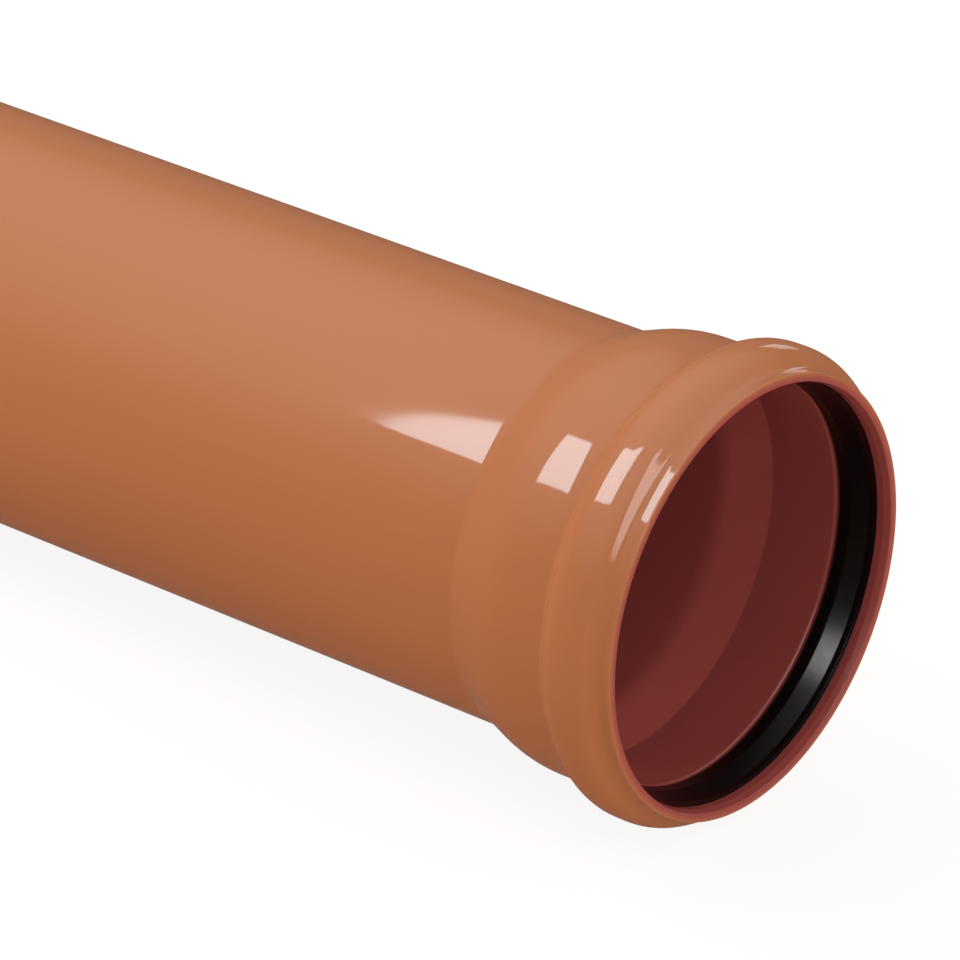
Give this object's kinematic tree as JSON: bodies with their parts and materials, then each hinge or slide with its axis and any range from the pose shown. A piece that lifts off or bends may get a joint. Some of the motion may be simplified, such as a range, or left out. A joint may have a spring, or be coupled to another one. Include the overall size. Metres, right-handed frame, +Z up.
{
  "type": "pvc pipe",
  "caption": "Straight plastic sewer pipe with an integral belled socket, a bead for its rubber ring and a bevelled plain end, lying on its side.",
  "frame": {"origin": "middle of the part's box on the floor it lies on", "axes": "+X along the pipe towards the mouth of its socket, level; +Z up. The pipe's own axis rises 1.6 degrees towards the mouth, because the bead holds that end up"},
  "size_m": [1.1146, 0.3736, 0.3736],
  "materials": {
    "pvc": "glossy extruded PVC-U, orange brown",
    "rubber_ring": "glossy black EPDM"
  },
  "bodies": {
    "root": {"pipe": "pvc", "seal_ring": "rubber_ring"}
  },
  "joints": []
}
